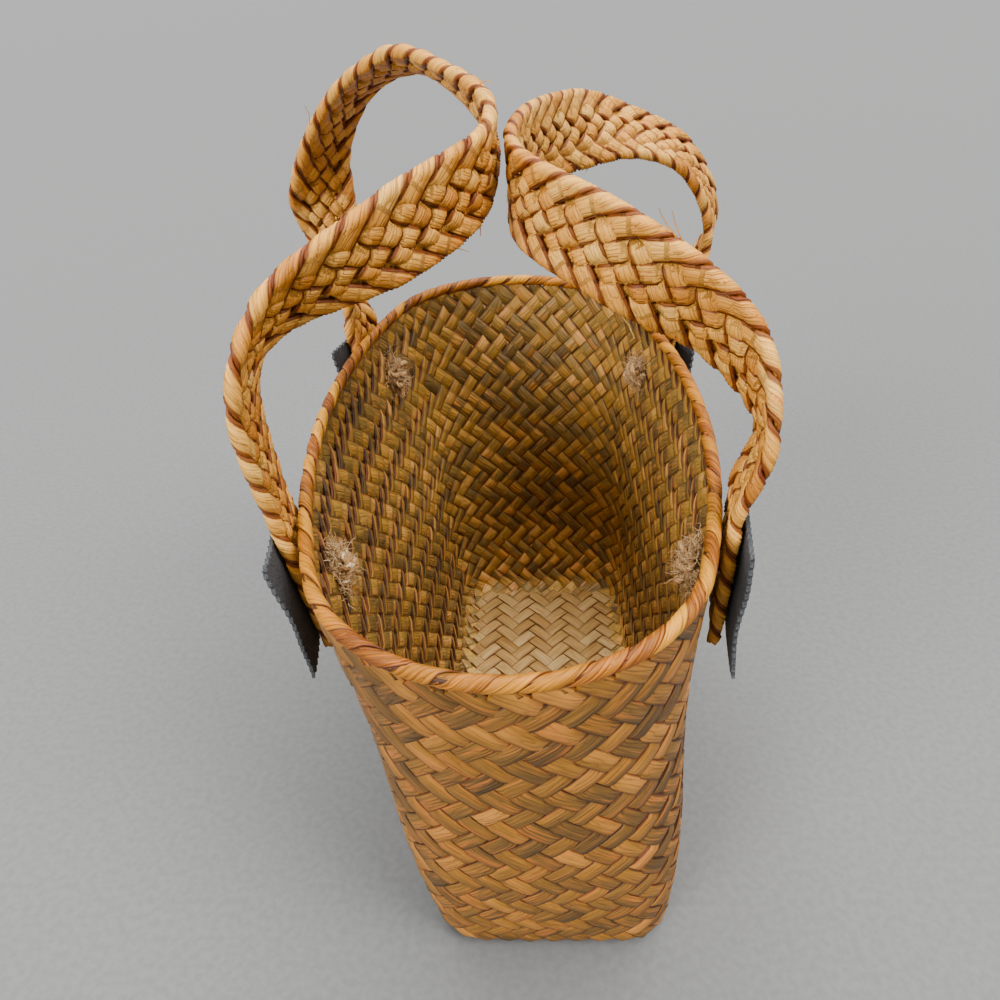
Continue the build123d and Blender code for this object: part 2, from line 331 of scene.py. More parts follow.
def stem_fibre():
    """Shader group: fibre streaks, slow colour drift, creases and edge mask of a flattened stem. The crease
    and edge masks also place painted shade.
    """
    group = bpy.data.node_groups.new("stem fibre", "ShaderNodeTree")
    for name in ("Along", "Across", "Tone", "Creases", "Edge Start", "Edge End"):
        group.interface.new_socket(name, in_out="INPUT", socket_type="NodeSocketFloat")
    for name in ("Streak", "Drift", "Crease", "Edge", "Height"):
        group.interface.new_socket(name, in_out="OUTPUT", socket_type="NodeSocketFloat")
    given = group.nodes.new("NodeGroupInput").outputs
    shift = sums(group, "MULTIPLY", given["Tone"], PATTERN_SHIFT)

    def noise(along_scale, across_scale, detail):
        """Noise with its own scale along and across the stem."""
        place = add_node(group, "ShaderNodeCombineXYZ", {
            "X": sums(group, "MULTIPLY", given["Along"], along_scale),
            "Y": sums(group, "MULTIPLY", given["Across"], across_scale),
            "Z": shift,
        })
        return add_node(group, "ShaderNodeTexNoise",
                        {"Vector": place.outputs[0], "Scale": 1.0, "Detail": detail}).outputs[0]

    streak = noise(*STREAK_GRAIN)
    drift = noise(*DRIFT_GRAIN)
    bend = sums(group, "MULTIPLY", sums(group, "SUBTRACT", noise(*BEND_GRAIN), 0.5), CREASE_BEND)
    wave = sums(group, "MULTIPLY", sums(group, "ADD", given["Across"], bend), given["Creases"])
    ridge = sums(group, "ABSOLUTE", sums(group, "SINE", wave))
    crease = sums(group, "SUBTRACT", 1.0, sums(group, "POWER", ridge, CREASE_SHARPNESS))
    edge = add_node(group, "ShaderNodeMapRange", {
        "Value": sums(group, "ABSOLUTE", given["Across"]),
        "From Min": given["Edge Start"],
        "From Max": given["Edge End"],
    }, interpolation_type="SMOOTHSTEP").outputs[0]
    height = sums(group, "SUBTRACT", sums(group, "MULTIPLY", streak, STREAK_HEIGHT), crease)
    results = {"Streak": streak, "Drift": drift, "Crease": crease, "Edge": edge, "Height": height}
    add_node(group, "NodeGroupOutput", results)
    return group


STEM_FIBRE = stem_fibre()


def colour_ramp(tree, value, stops):
    """Colour from a ramp with stops of place and colour."""
    node = add_node(tree, "ShaderNodeValToRGB", {"Fac": value})
    ramp = node.color_ramp
    while len(ramp.elements) < len(stops):
        ramp.elements.new(1.0)
    for element, (place, colour) in zip(ramp.elements, stops):
        element.position = place
        element.color = (*colour, 1)
    return node.outputs["Color"]


def mix(tree, blend, share, first, second):
    """Colour of two mixed by a share."""
    node = add_node(tree, "ShaderNodeMix", data_type="RGBA", blend_type=blend)
    for socket, value in (("Factor_Float", share), ("A_Color", first), ("B_Color", second)):
        target = next(item for item in node.inputs if item.identifier == socket)
        if isinstance(value, bpy.types.NodeSocket):
            tree.links.new(value, target)
        else:
            target.default_value = value
    return next(item for item in node.outputs if item.identifier == "Result_Color")


DULL_SHEEN = 0.3


def new_finish(name, roughness):
    """A dull material, its node tree and its shader."""
    finish = bpy.data.materials.new(name)
    finish.use_nodes = True
    shader = finish.node_tree.nodes["Principled BSDF"]
    shader.inputs["Roughness"].default_value = roughness
    shader.inputs["Specular IOR Level"].default_value = DULL_SHEEN
    return finish, finish.node_tree, shader


def surface_value(tree, name):
    """Value of a piece's own attribute."""
    return add_node(tree, "ShaderNodeAttribute", attribute_name=name).outputs["Fac"]


STEM_CREASES = 5.0
STEM_RELIEF = 0.0005
STEM_BUMP = 0.8
# Where, across each stem, its painted edge shade starts and ends.
STEM_EDGE = (0.54, 0.74)
STEM_ROUGHNESS = 0.5
STREAK_ROUGHNESS = (0.62, 0.40)
DRIFT_REACH = 1.1
STAIN_RANGE = (0.58, 0.76)
STAIN_STRENGTH = 0.9
STREAK_SHADES = [(0.30, (0.55, 0.50, 0.42)), (0.62, (1.0, 1.0, 1.0))]
STREAK_SHARE = 0.85
# Painted shade: colour darkened in the creases and along the edges of each stem, where it laps and tucks
# under its neighbours.
PAINTED_SHADE_LINES = [("Crease", 0.28, (0.42, 0.30, 0.18)), ("Edge", 0.95, (0.24, 0.11, 0.05))]
FACE_BLEND = 0.1
INSIDE_TINT = (1.10, 1.42, 2.40)
PALE_TO = 0.050
PALE_TINT = (2.2, 2.5, 3.6)


def inside_colour(tree, colour):
    """Colour of a stem with its inner face paler and more olive, and palest near the floor."""
    turned = add_node(tree, "ShaderNodeMapRange", {
        "Value": surface_value(tree, "face"),
        "From Min": FACE_BLEND,
        "From Max": -FACE_BLEND,
    }).outputs[0]
    place = add_node(tree, "ShaderNodeTexCoord").outputs["Object"]
    level = add_node(tree, "ShaderNodeSeparateXYZ", {0: place}).outputs["Z"]
    low = add_node(tree, "ShaderNodeMapRange", {"Value": level, "From Min": PALE_TO, "From Max": 0.0})
    pale = sums(tree, "MULTIPLY", low.outputs[0], turned)
    colour = mix(tree, "MULTIPLY", turned, colour, (*INSIDE_TINT, 1))
    return mix(tree, "MULTIPLY", pale, colour, (*PALE_TINT, 1))


def stem_finish(name, tones, amber, amber_share, two_faced=False, creases=STEM_CREASES, relief=STEM_RELIEF,
                lane=1.0, edge=STEM_EDGE):
    """Dried stem: a tone for each stem, drifting along it, with fibre streaks, creases and amber stains,
    and painted shade darkening its creases and edges.
    """
    finish, tree, shader = new_finish(name, STEM_ROUGHNESS)
    tone = surface_value(tree, "tone")
    across = sums(tree, "MULTIPLY_ADD", surface_value(tree, "across"), lane, surface_value(tree, "lane"))
    fibre = add_node(tree, "ShaderNodeGroup", {
        "Along": surface_value(tree, "along"),
        "Across": across,
        "Tone": tone,
        "Creases": creases,
        "Edge Start": edge[0],
        "Edge End": edge[1],
    }, node_tree=STEM_FIBRE).outputs
    drift = sums(tree, "MULTIPLY", sums(tree, "SUBTRACT", fibre["Drift"], 0.5), DRIFT_REACH)
    stops = [(k / (len(tones) - 1), tint) for k, tint in enumerate(tones)]
    colour = colour_ramp(tree, sums(tree, "ADD", tone, drift), stops)
    stain = add_node(tree, "ShaderNodeMapRange", {
        "Value": sums(tree, "MULTIPLY", fibre["Streak"], sums(tree, "ADD", fibre["Drift"], 0.5)),
        "From Min": STAIN_RANGE[0] - amber_share / 2,
        "From Max": STAIN_RANGE[1] - amber_share / 2,
        "To Max": STAIN_STRENGTH,
    }).outputs[0]
    colour = mix(tree, "MIX", stain, colour, (*amber, 1))
    colour = mix(tree, "MULTIPLY", STREAK_SHARE, colour, colour_ramp(tree, fibre["Streak"], STREAK_SHADES))
    # Painted shade in the creases and along the edges.
    for mask, share, tint in PAINTED_SHADE_LINES:
        colour = mix(tree, "MULTIPLY", sums(tree, "MULTIPLY", fibre[mask], share), colour, (*tint, 1))
    if two_faced:
        colour = inside_colour(tree, colour)
    tree.links.new(colour, shader.inputs["Base Color"])
    gloss = add_node(tree, "ShaderNodeMapRange", {
        "Value": fibre["Streak"],
        "To Min": STREAK_ROUGHNESS[0],
        "To Max": STREAK_ROUGHNESS[1],
    })
    tree.links.new(gloss.outputs[0], shader.inputs["Roughness"])
    bump = add_node(tree, "ShaderNodeBump",
                    {"Strength": STEM_BUMP, "Distance": relief, "Height": fibre["Height"]})
    tree.links.new(bump.outputs[0], shader.inputs["Normal"])
    return finish


BODY_TONES = [(0.110, 0.054, 0.010), (0.200, 0.096, 0.013), (0.33, 0.140, 0.011), (0.60, 0.255, 0.038)]
BODY_AMBER = (0.46, 0.130, 0.014)
BODY_AMBER_SHARE = 0.10

body_finish = stem_finish("plaited_stem", BODY_TONES, BODY_AMBER, BODY_AMBER_SHARE, two_faced=True)


def wall_stems(slope):
    """Lines of the stems that lean one way up the wall."""
    lowest = -TUCK_UNDER / WEAVE_ROW
    highest = (WALL_HEIGHT + TUCK_INTO_RIM + HEEL_RADIUS * (math.pi / 2 - 1)) / WEAVE_ROW
    count = round((highest - lowest) * SAMPLES_PER_ROW)
    rows = np.linspace(lowest, highest, count)
    crossings = CROSSINGS_PER_ROW * rows
    settle = np.clip((highest - rows) * WEAVE_ROW / SETTLE_UNDER_RIM, SETTLED_LIFT_SHARE, 1)
    lift = slope * STEM_LIFT * float_wave(crossings) * settle
    pitch = np.interp(rows, [lowest, highest], [BASE_PITCH, MOUTH_PITCH])
    even_width = pitch * WEAVE_ROW / np.hypot(pitch, WEAVE_ROW) * STEM_FILL / 2
    lines = []
    for k in range(STEMS_EACH_WAY):
        turn = (k + slope * rows) / STEMS_EACH_WAY
        points, normals = wall_surface(turn, rows * WEAVE_ROW)
        sideways = unit(np.cross(normals, np.gradient(points, axis=0)))
        wander = slow_noise(count, STEM_WANDER_KNOTS, STEM_WANDER)
        points = points - normals * (STEM_DEPTH - lift)[:, None] + sideways * wander[:, None]
        width = even_width * dice.uniform(*STEM_WIDTH_SPREAD)
        width = width * (1 + slow_noise(count, STEM_WIDTH_KNOTS, STEM_WIDTH_CHANGE))
        lines.append((points, normals, width, float_tones(crossings, slope)))
    return lines


for label, slope in (("rising", 1), ("falling", -1)):
    stems = sweep("wall_stems_" + label, wall_stems(slope), body_finish)
    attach(stems, "basket")
    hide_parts("woven_body")


# Bag floor
# The same plait carried across the base, its bands running along the bag. It is the least
# handled part, so it keeps a paler straw colour.

FLOOR_INSET = 0.0075
FLOOR_LEVEL = 0.0028
FLOOR_STEP = WEAVE_ROW / SAMPLES_PER_ROW
FLOOR_TONES = [(0.44, 0.235, 0.060), (0.58, 0.350, 0.110), (0.70, 0.460, 0.170), (0.78, 0.540, 0.230)]
FLOOR_AMBER_SHARE = -0.02
UP = np.array([0.0, 0.0, 1.0])

floor_finish = stem_finish("plaited_floor", FLOOR_TONES, BODY_AMBER, FLOOR_AMBER_SHARE)


def in_floor(x, y):
    """Whether points lie inside the floor's rounded outline."""
    radius = BASE_CORNER_RADIUS - FLOOR_INSET
    past_x = np.clip(np.abs(x - BASE_OFFSET) - (BASE_HALF_WIDTH - BASE_CORNER_RADIUS), 0, None)
    past_y = np.clip(np.abs(y) - (BASE_HALF_LENGTH - BASE_CORNER_RADIUS), 0, None)
    return np.hypot(past_x, past_y) < radius


def floor_stems(slope):
    """Lines of the floor's stems that lean one way."""
    reach = math.ceil((BASE_HALF_LENGTH + BASE_HALF_WIDTH) / WEAVE_ROW)
    width = WEAVE_ROW / math.sqrt(2) * STEM_FILL / 2
    lines = []
    for k in range(-reach, reach + 1):
        x = np.arange(-BASE_HALF_WIDTH, BASE_HALF_WIDTH, FLOOR_STEP) + BASE_OFFSET
        y = k * WEAVE_ROW + slope * x
        inside = in_floor(x, y)
        x, y = x[inside], y[inside]
        if len(x) < SAMPLES_PER_ROW:
            continue
        crossings = CROSSINGS_PER_ROW * x / WEAVE_ROW
        z = FLOOR_LEVEL + slope * STEM_LIFT * float_wave(crossings)
        points = np.stack([x, y, z], axis=1)
        outward = np.tile(UP, (len(x), 1))
        tones = float_tones(crossings, slope)
        lines.append((points, outward, width * dice.uniform(*STEM_WIDTH_SPREAD), tones))
    return lines


floor_piece = sweep("floor_stems", floor_stems(1) + floor_stems(-1), floor_finish)
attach(floor_piece, "basket")
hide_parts("woven_body")


# Wrapped rim
# A bundle of stem ends laid along the top of the wall, bound by flat stems that wind round it
# on a slant, each turn overlapping the last one.

RIM_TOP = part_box("rim_binding")[1].z
RIM_INSET = 0.00175
RIM_BUNDLE_HALF_HEIGHT = 0.0021
RIM_BUNDLE_HALF_WIDTH = 0.0019
BUNDLE_SHARE = 0.90
BUNDLE_SAMPLES = 241
BUNDLE_TONE = 0.4
BUNDLE_THICKNESS_SHARE = 0.95
BUNDLE_EDGE_ROUNDNESS = 0.8
BUNDLE_SIDES = 12
RIM_WRAPS = 62
WRAP_REACH = 1.7
WRAP_SPAN = (-0.04, 1.04)
WRAP_START = 0.25
WRAP_START_SPREAD = 0.07
WRAP_LEAN = 0.10
WRAP_LEAN_KNOTS = 5
WRAP_LAP = 1.6
WRAP_SAMPLES = 19
WRAP_THICKNESS = 0.0007
WRAP_THICKNESS_SHARE = 0.30
WRAP_FIBRE_LIFTS = (-0.0003, 0.0, 0.00015, 0.00023, 0.00026, 0.0002)
WRAP_FIBRES = len(WRAP_FIBRE_LIFTS)
# Painted shade along the edges of each wrap, where it laps the next.
WRAP_EDGE_SHADE = (0.86, 0.98)
RIM_TONES = [(0.21, 0.058, 0.002), (0.35, 0.124, 0.003), (0.49, 0.198, 0.005), (0.76, 0.360, 0.018)]
RIM_AMBER = (0.48, 0.135, 0.008)
RIM_AMBER_SHARE = 0.12

rim_finish = stem_finish("rim_wrapping", RIM_TONES, RIM_AMBER, RIM_AMBER_SHARE, lane=1 / WRAP_FIBRES,
                         edge=WRAP_EDGE_SHADE)
bundle_finish = stem_finish("rim_bundle", BODY_TONES, BODY_AMBER, BODY_AMBER_SHARE)


def rim_line(turn):
    """Middle of the rim's bundle and the outward direction there."""
    x, y, out_x, out_y = wall_outline(turn, np.ones_like(turn))
    outward = np.stack([out_x, out_y, np.zeros_like(out_x)], axis=1)
    level = np.full_like(x, RIM_TOP - RIM_BUNDLE_HALF_HEIGHT - WRAP_THICKNESS)
    return np.stack([x, y, level], axis=1) - outward * RIM_INSET, outward


def rim_wraps():
    """Lines of the wraps: each is a band of fibres that goes once round the bundle, on a slant."""
    spacing = outline_length(mouth_outline) / RIM_WRAPS
    girth = 2 * math.pi * math.sqrt(RIM_BUNDLE_HALF_HEIGHT * RIM_BUNDLE_HALF_WIDTH)
    slant = girth / math.hypot(girth, spacing * WRAP_REACH)
    half_width = spacing * slant / WRAP_FIBRES * WRAP_LAP / 2
    round_it = np.linspace(*WRAP_SPAN, WRAP_SAMPLES)
    angle = 2 * math.pi * (round_it - WRAP_START)
    cos, sin = np.cos(angle)[:, None], np.sin(angle)[:, None]
    lines = []
    for k in range(RIM_WRAPS):
        tone = dice.uniform(0, 1)
        start = k + dice.normal(0, WRAP_START_SPREAD)
        lean = slow_noise(WRAP_SAMPLES, WRAP_LEAN_KNOTS, WRAP_LEAN)
        for fibre, lift in enumerate(WRAP_FIBRE_LIFTS):
            place = start + round_it * WRAP_REACH + (fibre / WRAP_FIBRES - 0.5) + lean
            middle, outward = rim_line((place / RIM_WRAPS) % 1)
            normals = unit(outward * cos / RIM_BUNDLE_HALF_WIDTH + UP * sin / RIM_BUNDLE_HALF_HEIGHT)
            points = middle + outward * cos * RIM_BUNDLE_HALF_WIDTH + UP * sin * RIM_BUNDLE_HALF_HEIGHT
            points = points + normals * lift
            lines.append((points, normals, half_width, tone, (2 * fibre + 1) / WRAP_FIBRES - 1))
    return lines


def rim_bundle():
    """Line of the bundle inside the wraps."""
    middle, _ = rim_line(np.linspace(0, 1, BUNDLE_SAMPLES) % 1)
    return middle, np.tile(UP, (BUNDLE_SAMPLES, 1)), RIM_BUNDLE_HALF_HEIGHT * BUNDLE_SHARE, BUNDLE_TONE


rim_wrap_piece = sweep("rim_wraps", rim_wraps(), rim_finish, WRAP_THICKNESS_SHARE)
rim_bundle_piece = sweep("rim_bundle", [rim_bundle()], bundle_finish, BUNDLE_THICKNESS_SHARE,
                         BUNDLE_EDGE_ROUNDNESS, BUNDLE_SIDES)
for piece in (rim_wrap_piece, rim_bundle_piece):
    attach(piece, "basket")
    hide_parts("rim_binding")


# Plaited straps
# Two flat braids of seven stems, each stem folded over at the edges. The tails hang outside the
# wall, and the straps twist as they rise, so that they lean towards each other in the middle.

STRAP_WIDTH = 0.029
STRAP_HALF_THICKNESS = 0.0026
STRAP_TAIL = 0.041
STRAP_GAP = 0.0008
LASHING_DROP = 0.020
LIP_RUN = STRAP_WIDTH / 3
PATCH_SEAT = 0.00008
GRIP_HALF_SPAN = 0.076
GRIP_RISE = 0.122
ROUTE_STEPS = 60

# Places along each strap, front to rear: shares of the way inward, along the bag and up to the
# top of the grip, and the direction of the strap's width there.
LEFT_ROUTE_SHARES = [
    (-0.04, -1.05, 0.40, (-0.08, 0.99, -0.14)),
    (0.12, -0.94, 0.57, (-0.05, 0.78, -0.62)),
    (0.61, -0.76, 0.70, (0.40, 0.47, -0.79)),
    (0.97, -0.37, 0.79, (-0.03, 0.40, -0.91)),
    (0.915, 0.10, 0.89, (0.08, 0.90, -0.45)),
    (0.56, 0.55, 0.97, (0.10, 0.96, -0.27)),
    (0.17, 0.82, 0.88, (0.25, 0.94, -0.20)),
    (-0.10, 0.95, 0.65, (0.58, 0.78, -0.22)),
    (-0.14, 1.04, 0.37, (0.84, -0.52, -0.08)),
]
RIGHT_ROUTE_SHARES = [
    (-0.06, -1.03, 0.28, (-0.13, 0.96, -0.25)),
    (0.11, -0.90, 0.48, (0.33, 0.68, -0.65)),
    (0.58, -0.79, 0.65, (0.20, 0.12, -0.97)),
    (0.965, -0.40, 0.73, (0.00, 0.05, -1.00)),
    (0.95, 0.10, 0.77, (-0.03, 0.30, -0.95)),
    (0.74, 0.52, 0.77, (0.10, -0.33, -0.94)),
    (0.39, 0.85, 0.75, (0.12, -0.86, -0.50)),
    (-0.06, 1.02, 0.63, (0.30, -0.94, -0.14)),
    (-0.27, 1.07, 0.38, (0.26, -0.96, 0.00)),
]

BRAID_STEMS = 7
BRAID_LIFT = 0.0013
BRAID_STEEPNESS = 1.6
BRAID_EDGE_ROOM = 1.9
BRAID_STRETCH = 1.33
BRAID_FILL = 1.10
BRAID_FIBRE_SHARE = 0.58
BRAID_FIBRE_DIPS = (0.0002, 0.0, 0.0, 0.0002)
BRAID_FIBRES = len(BRAID_FIBRE_DIPS)
BRAID_THICKNESS_SHARE = 0.38
BRAID_EDGE_ROUNDNESS = 0.4
BRAID_SIDES = 6
BRAID_SAMPLES = 4
BRAID_LEAD = 2
BRAID_MOST_FLOATS = 1000
FOLD_SAMPLES = 7
HAIR_POINTS = 7
HAIR_TAPER = (1.2, 0.5)
HAIR_SIDE = (0.36, 0.48, 0.80)
LOOSE_FIBRES = 9
LOOSE_LENGTHS = (0.004, 0.013)
LOOSE_HALF_WIDTH = 0.0002
LOOSE_SPAN_SHARES = (0.22, 0.78)
LOOSE_ROOT_SHARE = 0.93
LOOSE_SIDEWAYS = (0.05, 0.45)
LOOSE_OUTWARD = 0.2
LOOSE_CURL = 0.16
STRAP_TONES = [(0.56, 0.205, 0.018), (0.80, 0.355, 0.045), (0.92, 0.460, 0.074), (0.98, 0.580, 0.135)]
STRAP_AMBER = (0.56, 0.165, 0.014)
STRAP_AMBER_SHARE = 0.10
STRAP_CREASES = 6.5
# Painted shade along the edges of each braid stem, where it passes under its neighbours.
STRAP_EDGE_SHADE = (0.62, 0.80)

strap_finish = stem_finish("plaited_strap", STRAP_TONES, STRAP_AMBER, STRAP_AMBER_SHARE,
                           creases=STRAP_CREASES, lane=BRAID_FIBRE_SHARE, edge=STRAP_EDGE_SHADE)


def node_corners(node):
    """Corners of a node of the frame."""
    return np.array([vertex.co for vertex in frame["nodes"][node].data.vertices])


def plate_frame(node):
    """Middle of a flat plate's inner face, its outward, level and upward directions and half sizes."""
    corners = node_corners(node)
    middle = (corners.min(0) + corners.max(0)) / 2
    _, _, axes = np.linalg.svd(corners - corners.mean(0), full_matrices=False)
    outward = axes[2] * np.sign(axes[2] @ [middle[0], middle[1], 0])
    level = np.cross(UP, outward)
    level /= np.linalg.norm(level)
    up = np.cross(outward, level)
    reach = [(corners - middle) @ axis for axis in (outward, level, up)]
    centre = middle + sum(axis * (r.max() + r.min()) / 2 for axis, r in zip((outward, level, up), reach))
    sizes = [(r.max() - r.min()) / 2 for r in reach]
    return centre - outward * sizes[0], outward, level, up, sizes


def strap_tail(side):
    """Middle of a strap at its rear lashing, with its outward, level and upward directions."""
    face, outward, level, up, _ = plate_frame(side + "_rear_patch")
    rock = next(joint for joint in frame["joints"] if joint["name"] == side + "_strap_rock")
    middle = face - outward * (STRAP_HALF_THICKNESS + PATCH_SEAT)
    return middle + up * (rock["pos_m"][2] - middle[2]) / up[2], outward, level, up


def smooth_line(values, times):
    """Values on a smooth line through evenly timed values."""
    padded = np.concatenate([[2 * values[0] - values[1]], values, [2 * values[-1] - values[-2]]])
    first = np.minimum(times.astype(int), len(values) - 2)
    f = (times - first)[:, None]
    p0, p1, p2, p3 = (padded[first + k] for k in range(4))
    bend = (p1 - p2) * 3 + p3 - p0
    pull = p0 * 2 - p1 * 5 + p2 * 4 - p3
    return p1 + ((p2 - p0) * f + pull * f ** 2 + bend * f ** 3) / 2


def strap_route(side, shares):
    """Points along a strap's middle with their distances, and its width and face directions."""
    lashing, outward, level, up = strap_tail(side)
    hand = math.copysign(1, lashing[0])
    mirror_y = np.array([1.0, -1.0, 1.0])
    lip = lashing + up * LASHING_DROP / up[2]
    foot = lashing - up * (STRAP_TAIL - LASHING_DROP) / up[2]
    tail = [foot, lip, lip + up * LIP_RUN]
    rear_width = -level * hand
    reach = abs(lip[0]) - STRAP_GAP / 2 - STRAP_HALF_THICKNESS
    middles = [place * mirror_y for place in tail]
    widths = [rear_width * mirror_y] * len(tail)
    for inward, along, rise, (wx, wy, wz) in shares:
        x = lip[0] - hand * inward * reach
        middles.append([x, along * GRIP_HALF_SPAN, WALL_HEIGHT + rise * GRIP_RISE])
        widths.append([-hand * wx, wy, wz])
    middles += tail[::-1]
    widths += [rear_width] * len(tail)
    times = np.linspace(0, len(middles) - 1, (len(middles) - 1) * ROUTE_STEPS + 1)
    points = smooth_line(np.array(middles), times)
    across = smooth_line(np.array(widths), times)
    run = unit(np.gradient(points, axis=0))
    across = unit(across - run * np.sum(across * run, axis=1, keepdims=True))
    return distances(points), points, across, np.cross(run, across)


def braid_stem(offset, lift):
    """One repeat of a fibre in the braid, and how long it is.

    A row holds how far along the fibre is, its place across and above, its outward direction
    across and above, and the number of its float.
    """
    half = STRAP_WIDTH / 2 - BRAID_LIFT * BRAID_EDGE_ROOM
    fold = math.pi * BRAID_LIFT
    period = 4 * half + 2 * fold
    ahead = BRAID_STEMS * offset * period / (4 * half)
    rows = []
    for turn in (0, 1):
        sign = 1 - 2 * turn
        start = (turn / 2 + offset) * period + fold / 2
        for passed in np.linspace(0, BRAID_STEMS, BRAID_STEMS * BRAID_SAMPLES + 1):
            crossing = np.clip(passed + ahead, 1, BRAID_STEMS - 1)
            height = np.clip(-BRAID_STEEPNESS * np.cos(math.pi * crossing), -1, 1)
            gone = start + 2 * half * passed / BRAID_STEMS
            across = sign * half * (2 * passed / BRAID_STEMS - 1)
            float_number = turn * BRAID_STEMS + np.clip(np.floor(passed + ahead + 0.5), 0, BRAID_STEMS)
            rows.append((gone, across, lift * height, 0, sign, float_number))
        for angle in np.linspace(-math.pi / 2, math.pi / 2, FOLD_SAMPLES)[1:-1]:
            gone = start + 2 * half + BRAID_LIFT * (angle + math.pi / 2)
            out = np.cos(angle)
            rise = np.sin(angle)
            across = sign * (half + lift * out)
            rows.append((gone, across, lift * rise, -out, -sign * rise, (turn + 1) * BRAID_STEMS))
    return np.array(rows) * (BRAID_STRETCH, 1, 1, 1, 1, 1), period * BRAID_STRETCH


def along_line(places, gone, line):
    """Vectors of a line at places along it."""
    return np.stack([np.interp(places, gone, line[:, axis]) for axis in range(3)], axis=1)


def hair(start, heading, curl, length, half_width):
    """Line of one loose fibre."""
    points = [start]
    for _ in range(HAIR_POINTS - 1):
        heading = heading + curl * dice.normal(0, 1, 3)
        heading = heading / np.linalg.norm(heading)
        points.append(points[-1] + heading * length / (HAIR_POINTS - 1))
    points = np.array(points)
    taper = half_width * np.linspace(*HAIR_TAPER, HAIR_POINTS)
    outward = unit(np.cross(np.gradient(points, axis=0), HAIR_SIDE))
    return points, outward, taper, dice.uniform(0, 1)


def loose_fibres(gone, middles, across, face):
    """Lines of fibres that have split off a strap's edges."""
    lines = []
    for _ in range(LOOSE_FIBRES):
        k = np.searchsorted(gone, dice.uniform(*LOOSE_SPAN_SHARES) * gone[-1])
        run = middles[k] - middles[k - 1]
        run *= dice.choice([-1, 1]) / np.linalg.norm(run)
        edge = across[k] * dice.choice([-1, 1])
        root = middles[k] + edge * STRAP_WIDTH / 2 * LOOSE_ROOT_SHARE
        root = root + face[k] * dice.normal(0, BRAID_LIFT / 2)
        heading = run + edge * dice.uniform(*LOOSE_SIDEWAYS) + face[k] * dice.normal(0, LOOSE_OUTWARD)
        heading /= np.linalg.norm(heading)
        length = dice.uniform(*LOOSE_LENGTHS)
        lines.append(hair(root, heading, LOOSE_CURL, length, LOOSE_HALF_WIDTH))
    return lines


def braid(side, shares):
    """Lines of a strap's stems, each a band of fibres, and of its loose fibres."""
    gone, middles, across, face = strap_route(side, shares)
    lines = []
    for k in range(BRAID_STEMS):
        own = dice.uniform(0, 1)
        changes = dice.uniform(0, 1, BRAID_MOST_FLOATS)
        for fibre, dip in enumerate(BRAID_FIBRE_DIPS):
            lane = (2 * fibre / (BRAID_FIBRES - 1) - 1) * (1 - BRAID_FIBRE_SHARE)
            pattern, period = braid_stem(lane / 2 / BRAID_STEMS, BRAID_LIFT - dip)
            stem_width = period / BRAID_STEMS / math.hypot(1, BRAID_STRETCH)
            half_width = stem_width / 2 * BRAID_FILL * BRAID_FIBRE_SHARE
            rows = np.concatenate([
                pattern + [(n - BRAID_LEAD + k / BRAID_STEMS) * period, 0, 0, 0, 0, 2 * BRAID_STEMS * n]
                for n in range(math.ceil(gone[-1] / period) + BRAID_LEAD + 1)
            ])
            rows = rows[(rows[:, 0] >= 0) & (rows[:, 0] <= gone[-1])]
            spot, wide, proud = (along_line(rows[:, 0], gone, line) for line in (middles, across, face))
            outward = wide * rows[:, 3:4] + proud * rows[:, 4:5]
            points = spot + wide * rows[:, 1:2] + proud * rows[:, 2:3]
            tones = own * (1 - FLOAT_TONE_SHARE) + changes[rows[:, 5].astype(int)] * FLOAT_TONE_SHARE
            lines.append((points, outward, half_width, tones, lane))
    return lines + loose_fibres(gone, middles, across, face)


for side, shares in (("left", LEFT_ROUTE_SHARES), ("right", RIGHT_ROUTE_SHARES)):
    strap = sweep(side + "_strap_stems", braid(side, shares), strap_finish, BRAID_THICKNESS_SHARE,
                  BRAID_EDGE_ROUNDNESS, BRAID_SIDES)
    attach(strap, side + "_strap")
    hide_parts(side + "_handle")


# Pinked patches
# Charcoal synthetic felt cut with pinking shears, one patch over each strap tail. The cut edges
# flare a little, and the sheet ripples where nothing holds it down.

PINK_PITCH = 0.0031
PINK_DEPTH = 0.0012
PATCH_SHEET = 0.0014
PATCH_FLARE = 0.0011
PATCH_FLARE_POWER = 4
PATCH_RIPPLE = 0.0004
PATCH_RIPPLE_WAVES = (5, 4)
PATCH_SOFT_EDGE = 0.00025
PATCH_EDGE_SEGMENTS = 2
FELT_ROUGHNESS = 0.9
FELT_GRAIN = {"Scale": 1900.0, "Detail": 3.0}
FELT_WEAR = {"Scale": 70.0, "Detail": 2.0}
FELT_FLUFF = {"Scale": 900.0}
FELT_GRAIN_SHARE = 0.7
FELT_WEAR_SHARE = 0.3
FELT_FLUFF_HEIGHT = 0.5
FELT_BUMP = 0.7
FELT_RELIEF = 0.0003
FELT_TONES = [(0.36, (0.020, 0.022, 0.025)), (0.62, (0.075, 0.080, 0.088))]


